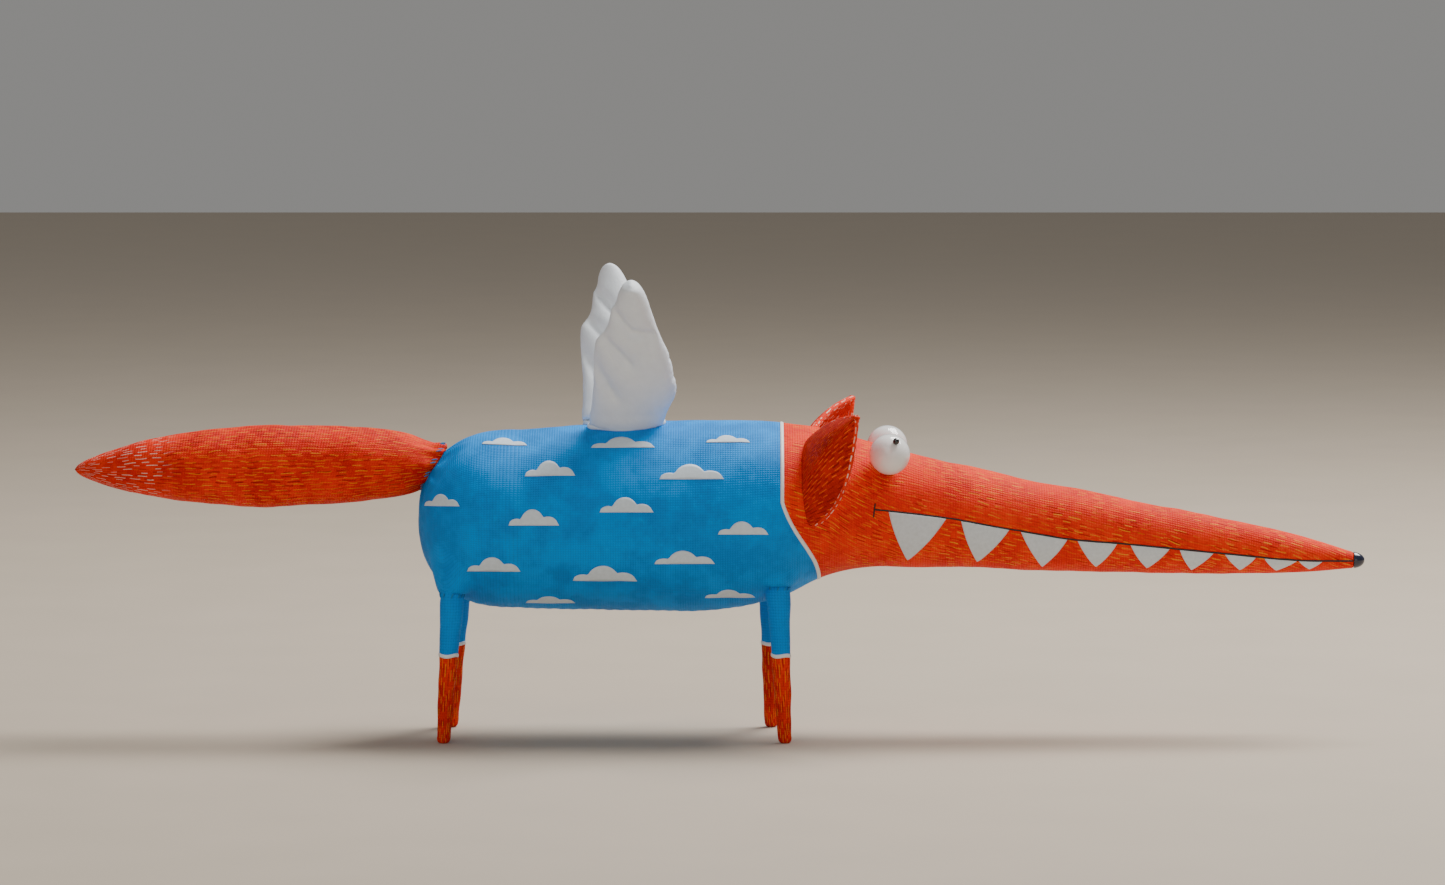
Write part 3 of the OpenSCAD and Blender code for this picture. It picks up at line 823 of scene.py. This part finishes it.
# Teeth: left and right end at the mouth line, then the rounded point's x and height.
TEETH = (
    (50.3, 67.5, 56.1, 52.9), (72.0, 86.4, 77.0, 52.3), (89.9, 103.8, 96.5, 51.3),
    (106.9, 118.7, 112.6, 51.2), (122.8, 134.5, 127.9, 50.7), (137.6, 147.7, 141.3, 50.1),
    (151.2, 160.5, 155.9, 50.0), (163.1, 172.9, 166.8, 49.9), (173.5, 180.6, 176.8, 50.2),
)
INK_WIDTH = 0.5


def mouth_line(side, word, material):
    def line(u, v):
        x = mix(MOUTH[0][0], MOUTH[-1][0], u)
        waver = 0.12 * noise.noise(Vector((x / 4, side, 0)))
        return x, curve(MOUTH, x, 1) + waver + (v - 0.5) * INK_WIDTH

    def tick(u, v):
        return 46.0 + 0.5 * (u - 0.5) + (v - 0.5) * 0.42, 65.9 + 4.2 * u

    paint_patch(f"mouth_line_{word}", 200, 2, line, side, material, 0.08)
    paint_patch(f"mouth_corner_{word}", 12, 2, tick, side, material, 0.08)


def teeth(side, word, material):
    for i, (left, right, tip_x, tip_z) in enumerate(TEETH):
        bow = (right - left) * 0.035

        def spot(u, v, left=left, right=right, tip_x=tip_x, tip_z=tip_z, bow=bow):
            top = mix(left, right, u)
            narrow = 0.9 * (1 - v) + 0.1 * math.sqrt(max(0, 1 - v * v))
            x = mix(tip_x, top, narrow) + bow * (2 * u - 1) * math.sin(math.pi * v)
            high = curve(MOUTH, top, 1) - INK_WIDTH / 2
            return x, mix(high, tip_z, v)

        paint_patch(f"tooth_{word}_{i + 1}", 16, 24, spot, side, material,
                    0.15)


def neckline(material):
    def place(u, v):
        angle = SEAM_DOWN + 2 * math.pi * u
        x = neckline_x(angle) + (v - 0.5) * 1.1
        return body(x, angle, 0.06 + 0.2 * (1 - (2 * v - 1) ** 2))

    piece = sheet("neckline", 220, 6, place, lambda u, v: (u * 170, v))
    outward(piece, (20, 0, 68))
    thickened(piece, 0.12)
    finished(piece, material, "figure")


# ---------------------------------------------------------------- ears


def ear_base(v):
    x = 27.6 - 3.2 * math.sqrt(max(0, 1 - v * v)) - 0.6 * max(0, v)
    return body(x, math.radians(mix(-12, 62, (v + 1) / 2)), 0.1)


def ear_point(u, v):
    tip = Vector((40.6, 38, 99.5))
    swell = math.sin(math.pi * u**0.85) if 0 < u < 1 else 0
    front, back, top = Vector((3.2, 1.5, -3.4)), Vector((-1.5, 4.6, 0.4)), Vector((0, 0.6, 2))
    rim = front if v < 0 else top
    return ear_base(v).lerp(tip, u) + back.lerp(rim, v * v) * swell


def ear_inward(u, v):
    e = 0.02
    a, b, c, d = max(u - e, 0), min(u + e, 0.96), max(v - e, -1), min(v + e, 1)
    return (ear_point(b, v) - ear_point(a, v)).cross(
        ear_point(min(u, 0.96), d) - ear_point(min(u, 0.96), c)).normalized()


EAR_END = 0.965  # the cone of the ear is cut off here and rounded by its rolled rim
EAR_RIM_R = 0.95
# Cloth layers of an ear: name, depth below the outside, thickness and side that it grows to.
EAR_LAYERS = (("back", 0.0, 0.75, -1), ("lining", 0.85, 0.6, 1))


def ear(side, word, m):
    def mirrored(point):
        return Vector((point.x, side * point.y, point.z))

    def layer(depth):
        def place(u, v):
            u, v = u * EAR_END, 2 * v - 1
            return mirrored(ear_point(u, v) + ear_inward(u, v) * depth)
        return place

    def flow(u, v):
        return u * 34, (2 * v - 1) * 15 * (1 - u) ** 0.7

    for kind, depth, thick, way in EAR_LAYERS:
        piece = sheet(f"ear_{word}_{kind}_cloth", 40, 28, layer(depth), flow)
        mesh = piece.data
        middle = mesh.polygons[len(mesh.polygons) // 2]
        inward = mirrored(ear_inward(0.5, 0.0))
        if (middle.normal.dot(inward) > 0) == (kind == "back"):
            mesh.flip_normals()
        applied(piece, "SOLIDIFY", thickness=thick * MM, offset=way)
        finished(piece, m["ear_" + kind], "figure", [f"ear_{word}_{kind}"])
    steps = 26
    edge = [(EAR_END * i / steps, -1) for i in range(steps)]
    edge += [(EAR_END, v / 6) for v in range(-6, 7, 2)]
    edge += [(EAR_END * (steps - 1 - i) / steps, 1) for i in range(steps)]
    path = [mirrored(ear_point(u, v) + ear_inward(u, v) * 0.72) for u, v in edge]
    rim = roll(f"ear_{word}_rim", path, EAR_RIM_R)
    finished(rim, m["ear_rim"], "figure")


# ---------------------------------------------------------------- wings

WING_ROOT_Y, WING_ROOT_Z = 4.6, 94.4
# The left wing is a little longer than the right one, stands further back and leans to the tail.
LEFT_WING_SCALE = 1.04
LEFT_WING_BACK, LEFT_WING_SWEEP = 2.2, 5.0
WING_BEND = 0.8
HEM_R = 0.85
WING_LEAN = math.atan2(25, 44)
WING_LENGTH = math.hypot(25, 44)
# Outline of a wing pad lying flat: share of its length, trailing x and leading x.
WING = (
    (0.0, -39.2, -16.8), (0.05, -39.2, -16.2), (0.11, -38.8, -15), (0.2, -38.4, -12.8),
    (0.29, -38.0, -12.1), (0.4, -37.8, -12.8), (0.51, -37.5, -14.3), (0.6, -36.9, -16.4),
    (0.655, -34.9, -17.6), (0.69, -33.7, -18.3), (0.76, -32.7, -19.4), (0.82, -32.2, -20.4),
    (0.86, -30.9, -21.0), (0.93, -30.0, -22.4), (0.98, -28.6, -24.2), (1.0, -27.2, -25.8),
)
# Quilting between the feathers, as lines from the trailing edge: x and share, twice.
QUILTING = (
    ((-35.5, 0.66), (-27.4, 0.47)), ((-38.5, 0.5), (-31.6, 0.23)),
    ((-32.2, 0.845), (-27.2, 0.70)), ((-26.6, 0.685), (-20.6, 0.665)),
)
PAD_HALF = 3.5  # half thickness of the flat pad before it is stuffed
SIM_SCALE = 10.0  # cloth is simulated ten times larger, where the solver is steady
SIM_FRAMES = 24
MOST_MOVED = 4.5  # cap on how far the stuffing may push the cloth, in mm


def wing_flat(u, v):
    """Flat pad of a wing: x, thickness and length, as a closed loft round its edge."""
    base = min(v / 0.04, 1)
    share = math.sin(math.pi / 2 * max(0, v - 0.04) / 0.96)
    left, right = curve(WING, share, 1), curve(WING, share, 2)
    turn = 2 * math.pi * u
    shrink = base * (math.sqrt(clamp((1 - share) / 0.03)) if share > 0.97 else 1.0)
    x = (left + right) / 2 + (right - left) / 2 * math.cos(turn) * shrink
    pressed = 0.4 + 0.6 * smooth(near_quilting(x, share * WING_LENGTH) / 2.6)
    return Vector((x, math.sin(turn) * PAD_HALF * shrink * pressed, share * WING_LENGTH))


def near_quilting(x, length):
    best = 99.0
    for (x1, s1), (x2, s2) in QUILTING:
        a, b = Vector((x1, s1 * WING_LENGTH)), Vector((x2, s2 * WING_LENGTH))
        p = Vector((x, length))
        t = clamp((p - a).dot(b - a) / (b - a).length_squared)
        best = min(best, (p - a.lerp(b, t)).length)
    return best


def stuff_wing(piece):
    """Inflates the pad by cloth simulation, held at its quilting and along its base."""
    scale = MM * SIM_SCALE
    piece.data.transform(Matrix.Scale(SIM_SCALE, 4))
    only(piece)
    piece.data.remesh_voxel_size = 0.8 * scale
    bpy.ops.object.voxel_remesh()
    group = piece.vertex_groups.new(name="held")
    start = []
    for vertex in piece.data.vertices:
        x, thick, length = vertex.co / scale
        start.append(vertex.co.copy())
        held = smooth((1.15 - near_quilting(x, length)) / 0.7)
        held = max(held, smooth((2.6 - length) / 1.2))
        if held > 0:
            group.add([vertex.index], held, "REPLACE")
    cloth = piece.modifiers.new("stuffing", "CLOTH")
    settings = cloth.settings
    settings.quality = 6
    settings.mass = 0.002
    settings.tension_stiffness = settings.compression_stiffness = 15
    settings.shear_stiffness = 6
    settings.bending_stiffness = 0.4
    settings.use_pressure = True
    settings.uniform_pressure_force = 45
    settings.vertex_group_mass = "held"
    settings.effector_weights.gravity = 0
    scene = bpy.context.scene
    cloth.point_cache.frame_start, cloth.point_cache.frame_end = 1, SIM_FRAMES
    for step in range(1, SIM_FRAMES + 1):
        scene.frame_set(step)
    bpy.ops.object.modifier_apply(modifier=cloth.name)
    scene.frame_set(1)
    for vertex, was in zip(piece.data.vertices, start):
        moved = vertex.co - was
        cap = MOST_MOVED * scale
        if moved.length > cap:
            vertex.co = was + moved * (cap / moved.length)
    piece.data.transform(Matrix.Scale(1 / SIM_SCALE, 4))
    applied(piece, "SMOOTH", factor=0.5, iterations=2)


def wing(side, word, m):
    piece = sheet(f"wing_{word}_pad", 64, 70, wing_flat, lambda u, v: (u * 50, v * 50))
    stuff_wing(piece)
    applied(piece, "SUBSURF", levels=1, render_levels=1)
    grow = LEFT_WING_SCALE if side == LEFT else 1.0
    up = Vector((0, side * math.sin(WING_LEAN), math.cos(WING_LEAN)))
    out = Vector((0, side * math.cos(WING_LEAN), -math.sin(WING_LEAN)))
    for vertex in piece.data.vertices:
        x, thick, length = vertex.co / MM
        share = length / WING_LENGTH
        sweep = -LEFT_WING_BACK - LEFT_WING_SWEEP * share if side == LEFT else 0.0
        bend = WING_BEND * math.sin(math.pi * clamp(share))
        flare = mix(1.0, 1.3, smooth((6 - length) / 6))
        root = Vector((x + sweep, side * WING_ROOT_Y, WING_ROOT_Z))
        vertex.co = (root + up * length * grow + out * (thick * flare + bend)) * MM
    only(piece)
    bpy.ops.object.mode_set(mode="EDIT")
    bpy.ops.mesh.select_all(action="SELECT")
    bpy.ops.mesh.normals_make_consistent(inside=False)
    bpy.ops.object.mode_set(mode="OBJECT")
    bpy.ops.object.shade_smooth()
    # The quilting goes deeper than the plain wadding inside, so the pad takes its place too.
    taken = [f"wing_{word}_cover", f"wing_{word}_stuffing"]
    finished(piece, m["wing"], "figure", taken)

    # The turned-out hem by which the wing is sewn to the back.
    middle_x = -28.0 - (1.4 if side == LEFT else 0)
    path = []
    for i in range(61):
        turn = 2 * math.pi * i / 60
        x = middle_x + 11.0 * math.cos(turn)
        y = side * 4.2 + 3.5 * math.sin(turn) * (1 + 0.12 * math.sin(3 * turn))
        angle = math.acos(y / section(x)[2])
        path.append(body(x, angle, 0.55 + 0.12 * math.sin(5 * turn)))
    hem = roll(f"wing_{word}_hem", path, HEM_R)
    finished(hem, m["wing"], "figure")


# ---------------------------------------------------------------- eyes, nose and stitches

BEAD_R, BORE_R, BEAD_PLAY = 6.1, 0.45, 0.25
PIN_HEAD_R, PIN_R, PIN_INSIDE = 1.0, 0.4, 10.3


def placed(piece, place, direction):
    """Turns a piece made along +Z at the origin to a direction and moves it to its place."""
    turn = Vector(direction).to_track_quat("Z", "Y").to_matrix().to_4x4()
    piece.data.transform(Matrix.Translation(Vector(place)) @ turn)
    return piece


def eye(word, m):
    joint = next(j for j in frame["joints"] if j["name"] == f"eye_{word}_turn")
    middle, out = Vector(joint["pos_m"]), Vector(joint["axis"]).normalized()

    def bead_place(u, v):
        start = math.asin(BORE_R / BEAD_R)
        if v < 0.06 or v > 0.94:  # through the drilled hole
            end = min(v, 1 - v) / 0.06
            z = math.cos(start) * BEAD_R * end * (1 if v < 0.5 else -1)
            round_x, round_y = math.cos(2 * math.pi * u), math.sin(2 * math.pi * u)
            return Vector((round_x * BORE_R, round_y * BORE_R, z))
        turn = mix(start, math.pi - start, (v - 0.06) / 0.88)
        flat = math.sin(turn) * BEAD_R
        return Vector((math.cos(2 * math.pi * u) * flat, math.sin(2 * math.pi * u) * flat,
                       math.cos(turn) * BEAD_R))

    bead = sheet(f"bead_{word}", 72, 80, bead_place, lambda u, v: (u * 38, v * 19))
    outward(bead, (0, 0, 0))
    placed(bead, middle, out)
    finished(bead, m["bead"], f"eye_{word}", [f"eye_{word}"])

    # One turned profile: shank, underside of the head and its dome, as radius and height.
    top = BEAD_R + 0.1
    bottom = -(BEAD_R + BEAD_PLAY + PIN_INSIDE)
    profile = [
        (0, bottom), (PIN_R * 0.6, bottom + 0.3), (PIN_R, bottom + 1), (PIN_R, top), (0.7, top),
    ]
    for i in range(1, 13):
        turn = mix(-math.asin(0.7), math.pi / 2, i / 12)
        profile.append((PIN_HEAD_R * math.cos(turn), top + 0.7 + PIN_HEAD_R * math.sin(turn)))

    def pin_place(u, v):
        at = v * (len(profile) - 1)
        i = min(int(at + 1e-6), len(profile) - 2)
        r = mix(profile[i][0], profile[i + 1][0], at - i)
        z = mix(profile[i][1], profile[i + 1][1], at - i)
        return Vector((math.cos(2 * math.pi * u) * r, math.sin(2 * math.pi * u) * r, z))

    pin = sheet(f"pin_{word}", 32, len(profile) - 1, pin_place, lambda u, v: (u, v))
    outward(pin, (0, 0, top))
    placed(pin, middle, out)
    finished(pin, m["pin"], "figure", [f"eye_pin_{word}"])


def nose(material):
    low, high = corners("nose_tip")
    middle = (low.z + high.z) / 2
    length = high.x - low.x

    def place(u, v):
        turn = 2 * math.pi * u
        if v < 0.2:
            x, r = low.x, 2.35 * v / 0.2
        else:
            t = (v - 0.2) / 0.8
            x, r = low.x + length * t, 2.5 * math.sqrt(max(0, 1 - t**2.2)) * (1 - 0.06 * t)
        dent = 1 - 0.12 * math.exp(-((turn - math.pi / 2) ** 2) / 0.3) * v
        return Vector((x, math.cos(turn) * r, middle + math.sin(turn) * r * dent))

    piece = sheet("nose_cone", 48, 40, place, lambda u, v: (u * 15, v * 6))
    outward(piece, (low.x + 1, 0, middle))
    finished(piece, material, "figure", ["nose_tip"])


def stitch(place, direction, length, thick):
    """One pulled stitch: a short fat bead of thread."""
    deselect()
    bpy.ops.mesh.primitive_uv_sphere_add(segments=10, ring_count=8, radius=1)
    piece = bpy.context.object
    piece.data.transform(Matrix.Diagonal((thick * MM, thick * MM, length / 2 * MM, 1)))
    bpy.ops.object.shade_smooth()
    return placed(piece, Vector(place) * MM, direction)


def joined(name, pieces):
    deselect()
    for piece in pieces:
        piece.select_set(True)
    bpy.context.view_layer.objects.active = pieces[0]
    bpy.ops.object.join()
    piece = bpy.context.object
    piece.name = piece.data.name = name
    return piece


def stitches(m):
    rows = []
    for spec in LEGS.values():
        for i in range(11):
            turn = 2 * math.pi * (i + 0.2 * math.sin(i * 5)) / 11
            low = leg_point(spec, spec[1] - 1.5, turn, 0.0)
            high = leg_point(spec, spec[1] + 0.2, turn + 0.16, 0.35)
            rows.append(stitch((low + high) / 2, high - low, (high - low).length, 0.2))
    finished(joined("leg_seam_stitches", rows), m["blue_thread"], "figure", ["leg_stitches"])
    rows = []
    for i in range(20):
        v = (i + 0.3 * math.sin(i * 3)) / 20
        low = tail_point(0.925, v, 0.05)
        high = tail_point(0.948, v + 0.012, 0.5)
        rows.append(stitch((low + high) / 2, high - low, 1.9, 0.2))
    finished(joined("tail_seam_stitches", rows), m["blue_thread"], "figure", ["tail_stitches"])


def inner_pieces(m):
    kinds = {
        "wadding": ("torso_stuffing", "head_stuffing", "tail_stuffing"),
        "wood": ("snout_rod",),
        "wire": ("front_leg_wire", "rear_leg_wire", "tail_wire", "wing_wire_left",
                 "wing_wire_right"),
        "white_thread": ("wire_bindings",),
    }
    for kind, names in kinds.items():
        for name in names:
            mesh = frame["nodes"][name].data
            mesh.materials.clear()
            mesh.materials.append(m[kind])


def floor(material):
    deselect()
    bpy.ops.mesh.primitive_plane_add(size=6, location=(0, 0, 0))
    piece = bpy.context.object
    piece.name = "floor"
    piece.data.materials.append(material)


def main():
    camera()
    studio()
    m = make_materials()
    torso(m["blue"])
    head(m["head"])
    tail(m["tail"])
    nose(m["nose"])
    neckline(m["line_white"])
    clouds(m["cloud"])
    for word, side in SIDES.items():
        mouth_line(side, word, m["ink"])
        teeth(side, word, m["tooth"])
        ear(side, word, m)
        wing(side, word, m)
        eye(word, m)
    for name in LEGS:
        leg(name, m["leg"])
        cuff(name, m["line_white"])
    stitches(m)
    inner_pieces(m)
    floor(m["floor"])


main()
